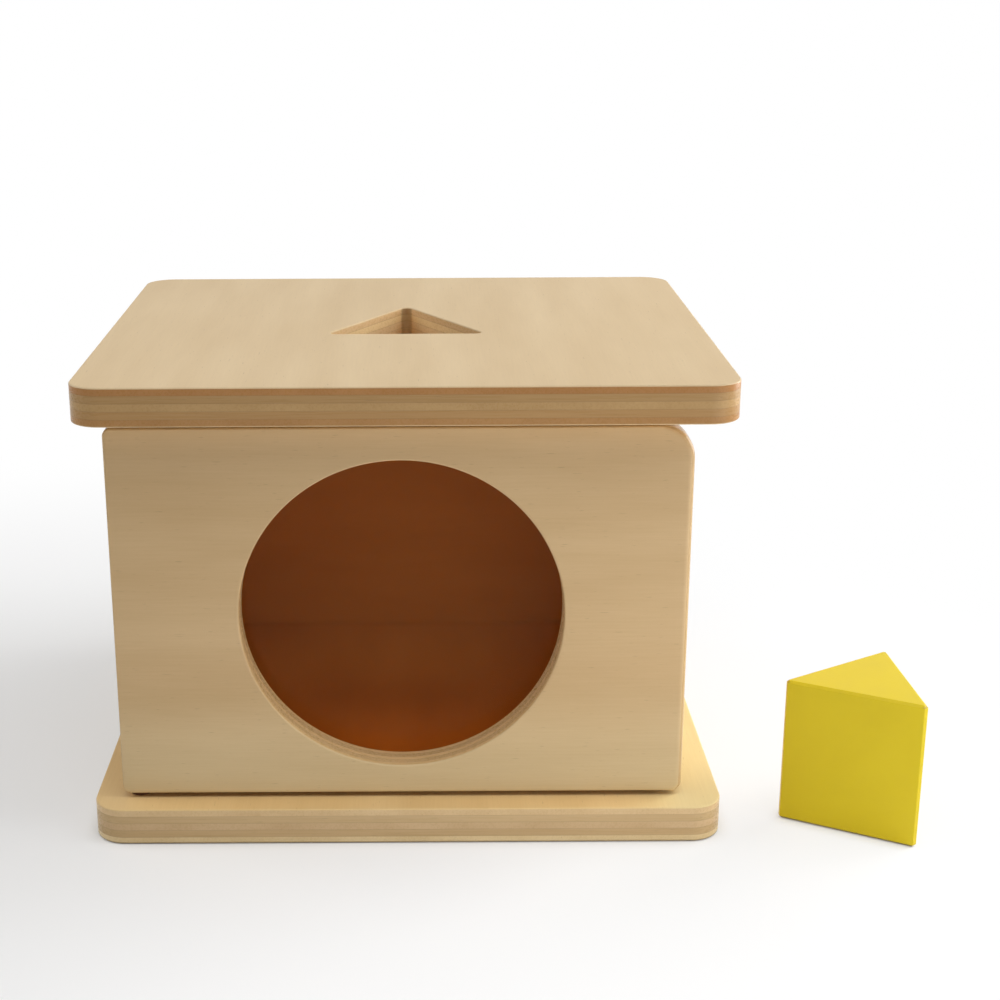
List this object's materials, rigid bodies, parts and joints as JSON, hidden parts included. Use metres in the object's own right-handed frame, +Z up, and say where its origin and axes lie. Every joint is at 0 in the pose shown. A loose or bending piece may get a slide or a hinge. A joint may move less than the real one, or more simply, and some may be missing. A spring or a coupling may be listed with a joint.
{
  "type": "object permanence box",
  "caption": "Plywood posting box with a triangular hole in the lid, a pivoting front door with a round tinted window, and a painted triangular prism to post.",
  "frame": {"origin": "centre of the base board's underside", "axes": "+Z up, +X to the right seen from the door, towards the prism, +Y from the door to the back wall"},
  "size_m": [0.2602, 0.1808, 0.149],
  "materials": {
    "plywood": "clear satin lacquer on pale veneered plywood",
    "tinted_acrylic": "clear red-brown sheet, polished",
    "yellow_paint": "satin paint on wood",
    "steel": "zinc plated",
    "nickel": "nickel plated",
    "dowel_wood": "bare"
  },
  "bodies": {
    "box": {"base_board": "plywood", "lid_board": "plywood", "left_wall": "plywood", "right_wall": "plywood", "back_wall": "plywood", "lower_washer": "steel", "wall_magnet": "nickel", "base_screws": "steel", "lid_dowels": "dowel_wood", "back_dowels": "dowel_wood"},
    "door": {"door_panel": "plywood", "window_pane": "tinted_acrylic", "pane_screws": "steel", "lower_hinge_pin": "steel", "upper_hinge_pin": "steel", "upper_washer": "steel", "door_magnet": "nickel"},
    "prism": {"triangular_prism": "yellow_paint"}
  },
  "joints": [
    {"name": "door_swing", "type": "hinge", "parent": "box", "child": "door", "pos_m": [-0.086, -0.0745, 0.0135], "axis": [0, 0, -1], "range_deg": [0, 265]},
    {"name": "prism_lift", "type": "slide", "parent": "box", "child": "prism", "axis": [0, 0, 1], "range_m": [0, 0.16]}
  ]
}
